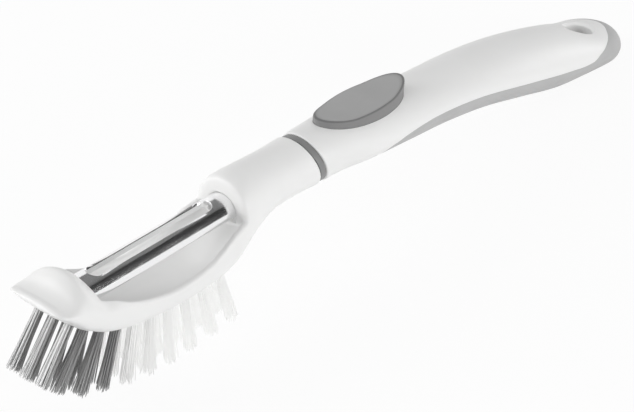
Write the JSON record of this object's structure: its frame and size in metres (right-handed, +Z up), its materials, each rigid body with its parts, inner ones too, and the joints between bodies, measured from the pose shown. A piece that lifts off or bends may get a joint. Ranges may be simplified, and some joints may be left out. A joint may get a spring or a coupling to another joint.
{
  "type": "vegetable brush with peeler",
  "caption": "Hand brush with a white head on rows of grey and white bristles, a slotted swivel peeler blade set into its back, and a curved handle with soft grip, thumb pad and hanging hole.",
  "frame": {"origin": "middle of the bounding box at its base, on the worktop that the brush lies on", "axes": "+X from the nose towards the handle's end, +Y to the side, +Z up"},
  "size_m": [0.2572, 0.0254, 0.0467],
  "materials": {
    "white_plastic": "satin white moulding",
    "pad_grey": "matt mid grey",
    "grip_grey": "matt light grey",
    "ring_grey": "satin dark grey",
    "polished_steel": "polished sheet steel",
    "pin_steel": "drawn wire",
    "grey_bristle": "grey nylon filament",
    "white_bristle": "white nylon filament"
  },
  "bodies": {
    "brush": {"head_frame": "white_plastic", "front_pivot_pin": "pin_steel", "rear_pivot_pin": "pin_steel", "collar_ring": "ring_grey", "handle_shell": "white_plastic", "soft_grip": "grip_grey", "thumb_pad": "pad_grey", "grey_tuft_01_left": "grey_bristle", "grey_tuft_01_middle": "grey_bristle", "grey_tuft_01_right": "grey_bristle", "grey_tuft_02_left": "grey_bristle", "grey_tuft_02_middle": "grey_bristle", "grey_tuft_02_right": "grey_bristle", "grey_tuft_03_left": "grey_bristle", "grey_tuft_03_middle": "grey_bristle", "grey_tuft_03_right": "grey_bristle", "grey_tuft_04_left": "grey_bristle", "grey_tuft_04_middle": "grey_bristle", "grey_tuft_04_right": "grey_bristle", "white_tuft_05_left": "white_bristle", "white_tuft_05_middle": "white_bristle", "white_tuft_05_right": "white_bristle", "white_tuft_06_left": "white_bristle", "white_tuft_06_middle": "white_bristle", "white_tuft_06_right": "white_bristle", "white_tuft_07_left": "white_bristle", "white_tuft_07_middle": "white_bristle", "white_tuft_07_right": "white_bristle", "white_tuft_08_left": "white_bristle", "white_tuft_08_middle": "white_bristle", "white_tuft_08_right": "white_bristle", "white_tuft_09_left": "white_bristle", "white_tuft_09_middle": "white_bristle", "white_tuft_09_right": "white_bristle", "white_tuft_10_left": "white_bristle", "white_tuft_10_middle": "white_bristle", "white_tuft_10_right": "white_bristle"},
    "blade": {"peeler_blade": "polished_steel"}
  },
  "joints": [
    {"name": "blade_swivel", "type": "hinge", "parent": "brush", "child": "blade", "pos_m": [-0.0804, 0, 0.03485], "axis": [0.9987, 0, -0.0506], "range_deg": [-25, 25]}
  ]
}
